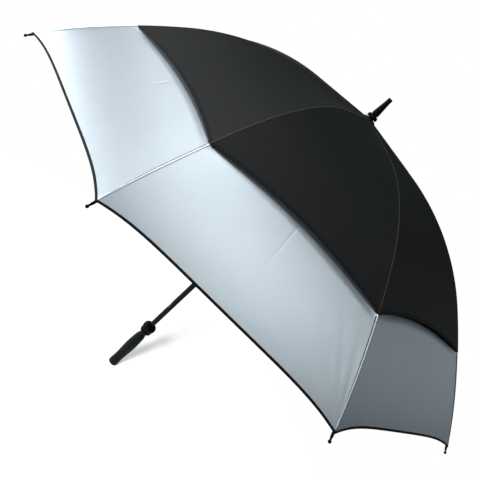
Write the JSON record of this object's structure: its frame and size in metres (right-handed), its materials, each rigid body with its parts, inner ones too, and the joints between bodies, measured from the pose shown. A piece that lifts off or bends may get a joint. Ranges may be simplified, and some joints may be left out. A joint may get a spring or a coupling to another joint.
{
  "type": "golf umbrella",
  "caption": "Open golf umbrella with a vented double canopy, straight shaft, contoured grip and a folding rib and runner frame.",
  "frame": {"origin": "shaft axis at the middle of the grip", "axes": "+Z along the shaft from the grip to the ferrule; +X towards the first rib"},
  "size_m": [1.3176, 1.3176, 0.987],
  "materials": {
    "shaft_black": "satin black tube",
    "grip_rubber": "matte moulded rubber",
    "moulded_black": "fine moulded black",
    "rib_rod": "drawn fibreglass, black",
    "stretcher_black": "black coated steel",
    "wire_steel": "bright wire",
    "catch_steel": "spring steel",
    "top_cloth": "tight plain weave, faint sheen",
    "lower_cloth": "silver coated plain weave"
  },
  "bodies": {
    "shaft": {"shaft": "shaft_black", "grip": "grip_rubber", "grip_collar": "moulded_black", "ferrule": "moulded_black", "crown_cap": "moulded_black", "crown_rosette": "top_cloth", "crown_notch": "moulded_black", "crown_wire": "wire_steel"},
    "rib_1": {"rib_inner_1": "rib_rod"},
    "rib_end_1": {"rib_outer_1": "rib_rod", "rib_tip_1": "moulded_black"},
    "stretcher_1": {"stretcher_1": "stretcher_black"},
    "rib_2": {"rib_inner_2": "rib_rod"},
    "rib_end_2": {"rib_outer_2": "rib_rod", "rib_tip_2": "moulded_black"},
    "stretcher_2": {"stretcher_2": "stretcher_black"},
    "rib_3": {"rib_inner_3": "rib_rod"},
    "rib_end_3": {"rib_outer_3": "rib_rod", "rib_tip_3": "moulded_black"},
    "stretcher_3": {"stretcher_3": "stretcher_black"},
    "rib_4": {"rib_inner_4": "rib_rod"},
    "rib_end_4": {"rib_outer_4": "rib_rod", "rib_tip_4": "moulded_black"},
    "stretcher_4": {"stretcher_4": "stretcher_black"},
    "rib_5": {"rib_inner_5": "rib_rod"},
    "rib_end_5": {"rib_outer_5": "rib_rod", "rib_tip_5": "moulded_black"},
    "stretcher_5": {"stretcher_5": "stretcher_black"},
    "rib_6": {"rib_inner_6": "rib_rod"},
    "rib_end_6": {"rib_outer_6": "rib_rod", "rib_tip_6": "moulded_black"},
    "stretcher_6": {"stretcher_6": "stretcher_black"},
    "rib_7": {"rib_inner_7": "rib_rod"},
    "rib_end_7": {"rib_outer_7": "rib_rod", "rib_tip_7": "moulded_black"},
    "stretcher_7": {"stretcher_7": "stretcher_black"},
    "rib_8": {"rib_inner_8": "rib_rod"},
    "rib_end_8": {"rib_outer_8": "rib_rod", "rib_tip_8": "moulded_black"},
    "stretcher_8": {"stretcher_8": "stretcher_black"},
    "runner": {"runner": "moulded_black", "runner_wire": "wire_steel"},
    "top_gore_1": {"top_panel_1": "top_cloth"},
    "lower_gore_1": {"lower_panel_1": "lower_cloth"},
    "top_gore_2": {"top_panel_2": "top_cloth"},
    "lower_gore_2": {"lower_panel_2": "lower_cloth"},
    "top_gore_3": {"top_panel_3": "top_cloth"},
    "lower_gore_3": {"lower_panel_3": "lower_cloth"},
    "top_gore_4": {"top_panel_4": "top_cloth"},
    "lower_gore_4": {"lower_panel_4": "lower_cloth"},
    "top_gore_5": {"top_panel_5": "top_cloth"},
    "lower_gore_5": {"lower_panel_5": "lower_cloth"},
    "top_gore_6": {"top_panel_6": "top_cloth"},
    "lower_gore_6": {"lower_panel_6": "lower_cloth"},
    "top_gore_7": {"top_panel_7": "top_cloth"},
    "lower_gore_7": {"lower_panel_7": "lower_cloth"},
    "top_gore_8": {"top_panel_8": "top_cloth"},
    "lower_gore_8": {"lower_panel_8": "lower_cloth"},
    "open_catch": {"open_catch": "catch_steel"},
    "closed_catch": {"closed_catch": "catch_steel"}
  },
  "joints": [
    {"name": "fold", "type": "hinge", "parent": "shaft", "child": "rib_1", "pos_m": [0.0125, 0, 0.85095], "axis": [0, 1, 0], "range_deg": [0, 73.43], "deforming": ["top_panel_1", "top_panel_2", "top_panel_3", "top_panel_4", "top_panel_5", "top_panel_6", "top_panel_7", "top_panel_8", "lower_panel_1", "lower_panel_2", "lower_panel_3", "lower_panel_4", "lower_panel_5", "lower_panel_6", "lower_panel_7", "lower_panel_8", "open_catch", "closed_catch"]},
    {"name": "rib_flex_1", "type": "hinge", "parent": "rib_1", "child": "rib_end_1", "pos_m": [0.33105, 0, 0.78593], "axis": [0, 1, 0], "range_deg": [-25.41, 0]},
    {"name": "stretcher_hinge_1", "type": "hinge", "parent": "rib_1", "child": "stretcher_1", "pos_m": [0.32848, 0, 0.78051], "axis": [0, 1, 0], "range_deg": [-146.88, 0]},
    {"name": "rib_hinge_2", "type": "hinge", "parent": "shaft", "child": "rib_2", "pos_m": [0.00884, 0.00884, 0.85095], "axis": [-0.7071, 0.7071, 0], "range_deg": [0, 73.43]},
    {"name": "rib_flex_2", "type": "hinge", "parent": "rib_2", "child": "rib_end_2", "pos_m": [0.23408, 0.23408, 0.78593], "axis": [-0.7071, 0.7071, 0], "range_deg": [-25.41, 0]},
    {"name": "stretcher_hinge_2", "type": "hinge", "parent": "rib_2", "child": "stretcher_2", "pos_m": [0.23227, 0.23227, 0.78051], "axis": [-0.7071, 0.7071, 0], "range_deg": [-146.88, 0]},
    {"name": "rib_hinge_3", "type": "hinge", "parent": "shaft", "child": "rib_3", "pos_m": [0, 0.0125, 0.85095], "axis": [-1, 0, 0], "range_deg": [0, 73.43]},
    {"name": "rib_flex_3", "type": "hinge", "parent": "rib_3", "child": "rib_end_3", "pos_m": [0, 0.33105, 0.78593], "axis": [-1, 0, 0], "range_deg": [-25.41, 0]},
    {"name": "stretcher_hinge_3", "type": "hinge", "parent": "rib_3", "child": "stretcher_3", "pos_m": [0, 0.32848, 0.78051], "axis": [-1, 0, 0], "range_deg": [-146.88, 0]},
    {"name": "rib_hinge_4", "type": "hinge", "parent": "shaft", "child": "rib_4", "pos_m": [-0.00884, 0.00884, 0.85095], "axis": [-0.7071, -0.7071, 0], "range_deg": [0, 73.43]},
    {"name": "rib_flex_4", "type": "hinge", "parent": "rib_4", "child": "rib_end_4", "pos_m": [-0.23408, 0.23408, 0.78593], "axis": [-0.7071, -0.7071, 0], "range_deg": [-25.41, 0]},
    {"name": "stretcher_hinge_4", "type": "hinge", "parent": "rib_4", "child": "stretcher_4", "pos_m": [-0.23227, 0.23227, 0.78051], "axis": [-0.7071, -0.7071, 0], "range_deg": [-146.88, 0]},
    {"name": "rib_hinge_5", "type": "hinge", "parent": "shaft", "child": "rib_5", "pos_m": [-0.0125, 0, 0.85095], "axis": [0, -1, 0], "range_deg": [0, 73.43]},
    {"name": "rib_flex_5", "type": "hinge", "parent": "rib_5", "child": "rib_end_5", "pos_m": [-0.33105, 0, 0.78593], "axis": [0, -1, 0], "range_deg": [-25.41, 0]},
    {"name": "stretcher_hinge_5", "type": "hinge", "parent": "rib_5", "child": "stretcher_5", "pos_m": [-0.32848, 0, 0.78051], "axis": [0, -1, 0], "range_deg": [-146.88, 0]},
    {"name": "rib_hinge_6", "type": "hinge", "parent": "shaft", "child": "rib_6", "pos_m": [-0.00884, -0.00884, 0.85095], "axis": [0.7071, -0.7071, 0], "range_deg": [0, 73.43]},
    {"name": "rib_flex_6", "type": "hinge", "parent": "rib_6", "child": "rib_end_6", "pos_m": [-0.23408, -0.23408, 0.78593], "axis": [0.7071, -0.7071, 0], "range_deg": [-25.41, 0]},
    {"name": "stretcher_hinge_6", "type": "hinge", "parent": "rib_6", "child": "stretcher_6", "pos_m": [-0.23227, -0.23227, 0.78051], "axis": [0.7071, -0.7071, 0], "range_deg": [-146.88, 0]},
    {"name": "rib_hinge_7", "type": "hinge", "parent": "shaft", "child": "rib_7", "pos_m": [0, -0.0125, 0.85095], "axis": [1, 0, 0], "range_deg": [0, 73.43]},
    {"name": "rib_flex_7", "type": "hinge", "parent": "rib_7", "child": "rib_end_7", "pos_m": [0, -0.33105, 0.78593], "axis": [1, 0, 0], "range_deg": [-25.41, 0]},
    {"name": "stretcher_hinge_7", "type": "hinge", "parent": "rib_7", "child": "stretcher_7", "pos_m": [0, -0.32848, 0.78051], "axis": [1, 0, 0], "range_deg": [-146.88, 0]},
    {"name": "rib_hinge_8", "type": "hinge", "parent": "shaft", "child": "rib_8", "pos_m": [0.00884, -0.00884, 0.85095], "axis": [0.7071, 0.7071, 0], "range_deg": [0, 73.43]},
    {"name": "rib_flex_8", "type": "hinge", "parent": "rib_8", "child": "rib_end_8", "pos_m": [0.23408, -0.23408, 0.78593], "axis": [0.7071, 0.7071, 0], "range_deg": [-25.41, 0]},
    {"name": "stretcher_hinge_8", "type": "hinge", "parent": "rib_8", "child": "stretcher_8", "pos_m": [0.23227, -0.23227, 0.78051], "axis": [0.7071, 0.7071, 0], "range_deg": [-146.88, 0]},
    {"name": "runner_hinge", "type": "hinge", "parent": "stretcher_1", "child": "runner", "pos_m": [0.0125, 0, 0.71007], "axis": [0, 1, 0], "range_deg": [0, 73.44]},
    {"name": "gore_hinge_1", "type": "hinge", "parent": "shaft", "child": "top_gore_1", "pos_m": [0.01067, 0.00442, 0.85095], "axis": [-0.3827, 0.9239, 0], "range_deg": [0, 72.9]},
    {"name": "gore_flex_1", "type": "hinge", "parent": "top_gore_1", "child": "lower_gore_1", "pos_m": [0.28257, 0.11704, 0.78593], "axis": [-0.3827, 0.9239, 0], "range_deg": [-27.03, 0]},
    {"name": "gore_hinge_2", "type": "hinge", "parent": "shaft", "child": "top_gore_2", "pos_m": [0.00442, 0.01067, 0.85095], "axis": [-0.9239, 0.3827, 0], "range_deg": [0, 72.9]},
    {"name": "gore_flex_2", "type": "hinge", "parent": "top_gore_2", "child": "lower_gore_2", "pos_m": [0.11704, 0.28257, 0.78593], "axis": [-0.9239, 0.3827, 0], "range_deg": [-27.03, 0]},
    {"name": "gore_hinge_3", "type": "hinge", "parent": "shaft", "child": "top_gore_3", "pos_m": [-0.00442, 0.01067, 0.85095], "axis": [-0.9239, -0.3827, 0], "range_deg": [0, 72.9]},
    {"name": "gore_flex_3", "type": "hinge", "parent": "top_gore_3", "child": "lower_gore_3", "pos_m": [-0.11704, 0.28257, 0.78593], "axis": [-0.9239, -0.3827, 0], "range_deg": [-27.03, 0]},
    {"name": "gore_hinge_4", "type": "hinge", "parent": "shaft", "child": "top_gore_4", "pos_m": [-0.01067, 0.00442, 0.85095], "axis": [-0.3827, -0.9239, 0], "range_deg": [0, 72.9]},
    {"name": "gore_flex_4", "type": "hinge", "parent": "top_gore_4", "child": "lower_gore_4", "pos_m": [-0.28257, 0.11704, 0.78593], "axis": [-0.3827, -0.9239, 0], "range_deg": [-27.03, 0]},
    {"name": "gore_hinge_5", "type": "hinge", "parent": "shaft", "child": "top_gore_5", "pos_m": [-0.01067, -0.00442, 0.85095], "axis": [0.3827, -0.9239, 0], "range_deg": [0, 72.9]},
    {"name": "gore_flex_5", "type": "hinge", "parent": "top_gore_5", "child": "lower_gore_5", "pos_m": [-0.28257, -0.11704, 0.78593], "axis": [0.3827, -0.9239, 0], "range_deg": [-27.03, 0]},
    {"name": "gore_hinge_6", "type": "hinge", "parent": "shaft", "child": "top_gore_6", "pos_m": [-0.00442, -0.01067, 0.85095], "axis": [0.9239, -0.3827, 0], "range_deg": [0, 72.9]},
    {"name": "gore_flex_6", "type": "hinge", "parent": "top_gore_6", "child": "lower_gore_6", "pos_m": [-0.11704, -0.28257, 0.78593], "axis": [0.9239, -0.3827, 0], "range_deg": [-27.03, 0]},
    {"name": "gore_hinge_7", "type": "hinge", "parent": "shaft", "child": "top_gore_7", "pos_m": [0.00442, -0.01067, 0.85095], "axis": [0.9239, 0.3827, 0], "range_deg": [0, 72.9]},
    {"name": "gore_flex_7", "type": "hinge", "parent": "top_gore_7", "child": "lower_gore_7", "pos_m": [0.11704, -0.28257, 0.78593], "axis": [0.9239, 0.3827, 0], "range_deg": [-27.03, 0]},
    {"name": "gore_hinge_8", "type": "hinge", "parent": "shaft", "child": "top_gore_8", "pos_m": [0.01067, -0.00442, 0.85095], "axis": [0.3827, 0.9239, 0], "range_deg": [0, 72.9]},
    {"name": "gore_flex_8", "type": "hinge", "parent": "top_gore_8", "child": "lower_gore_8", "pos_m": [0.28257, -0.11704, 0.78593], "axis": [0.3827, 0.9239, 0], "range_deg": [-27.03, 0]},
    {"name": "open_catch_press", "type": "hinge", "parent": "shaft", "child": "open_catch", "pos_m": [0.00314, 0.0013, 0.62157], "axis": [0.3827, -0.9239, 0], "range_deg": [0, 5.5], "stiffness_Nm_per_rad": 0.6},
    {"name": "closed_catch_press", "type": "hinge", "parent": "shaft", "child": "closed_catch", "pos_m": [0.00314, 0.0013, 0.15306], "axis": [0.3827, -0.9239, 0], "range_deg": [0, 5.5], "stiffness_Nm_per_rad": 0.6}
  ],
  "couplings": [
    {"joint": "rib_flex_1", "follows": "fold", "ratio": -0.34591},
    {"joint": "stretcher_hinge_1", "follows": "fold", "ratio": -2},
    {"joint": "rib_hinge_2", "follows": "fold", "ratio": 1},
    {"joint": "rib_flex_2", "follows": "fold", "ratio": -0.34591},
    {"joint": "stretcher_hinge_2", "follows": "fold", "ratio": -2},
    {"joint": "rib_hinge_3", "follows": "fold", "ratio": 1},
    {"joint": "rib_flex_3", "follows": "fold", "ratio": -0.34591},
    {"joint": "stretcher_hinge_3", "follows": "fold", "ratio": -2},
    {"joint": "rib_hinge_4", "follows": "fold", "ratio": 1},
    {"joint": "rib_flex_4", "follows": "fold", "ratio": -0.34591},
    {"joint": "stretcher_hinge_4", "follows": "fold", "ratio": -2},
    {"joint": "rib_hinge_5", "follows": "fold", "ratio": 1},
    {"joint": "rib_flex_5", "follows": "fold", "ratio": -0.34591},
    {"joint": "stretcher_hinge_5", "follows": "fold", "ratio": -2},
    {"joint": "rib_hinge_6", "follows": "fold", "ratio": 1},
    {"joint": "rib_flex_6", "follows": "fold", "ratio": -0.34591},
    {"joint": "stretcher_hinge_6", "follows": "fold", "ratio": -2},
    {"joint": "rib_hinge_7", "follows": "fold", "ratio": 1},
    {"joint": "rib_flex_7", "follows": "fold", "ratio": -0.34591},
    {"joint": "stretcher_hinge_7", "follows": "fold", "ratio": -2},
    {"joint": "rib_hinge_8", "follows": "fold", "ratio": 1},
    {"joint": "rib_flex_8", "follows": "fold", "ratio": -0.34591},
    {"joint": "stretcher_hinge_8", "follows": "fold", "ratio": -2},
    {"joint": "runner_hinge", "follows": "fold", "ratio": 1},
    {"joint": "gore_hinge_1", "follows": "fold", "ratio": 0.99264},
    {"joint": "gore_flex_1", "follows": "fold", "ratio": -0.36798},
    {"joint": "gore_hinge_2", "follows": "fold", "ratio": 0.99264},
    {"joint": "gore_flex_2", "follows": "fold", "ratio": -0.36798},
    {"joint": "gore_hinge_3", "follows": "fold", "ratio": 0.99264},
    {"joint": "gore_flex_3", "follows": "fold", "ratio": -0.36798},
    {"joint": "gore_hinge_4", "follows": "fold", "ratio": 0.99264},
    {"joint": "gore_flex_4", "follows": "fold", "ratio": -0.36798},
    {"joint": "gore_hinge_5", "follows": "fold", "ratio": 0.99264},
    {"joint": "gore_flex_5", "follows": "fold", "ratio": -0.36798},
    {"joint": "gore_hinge_6", "follows": "fold", "ratio": 0.99264},
    {"joint": "gore_flex_6", "follows": "fold", "ratio": -0.36798},
    {"joint": "gore_hinge_7", "follows": "fold", "ratio": 0.99264},
    {"joint": "gore_flex_7", "follows": "fold", "ratio": -0.36798},
    {"joint": "gore_hinge_8", "follows": "fold", "ratio": 0.99264},
    {"joint": "gore_flex_8", "follows": "fold", "ratio": -0.36798}
  ]
}
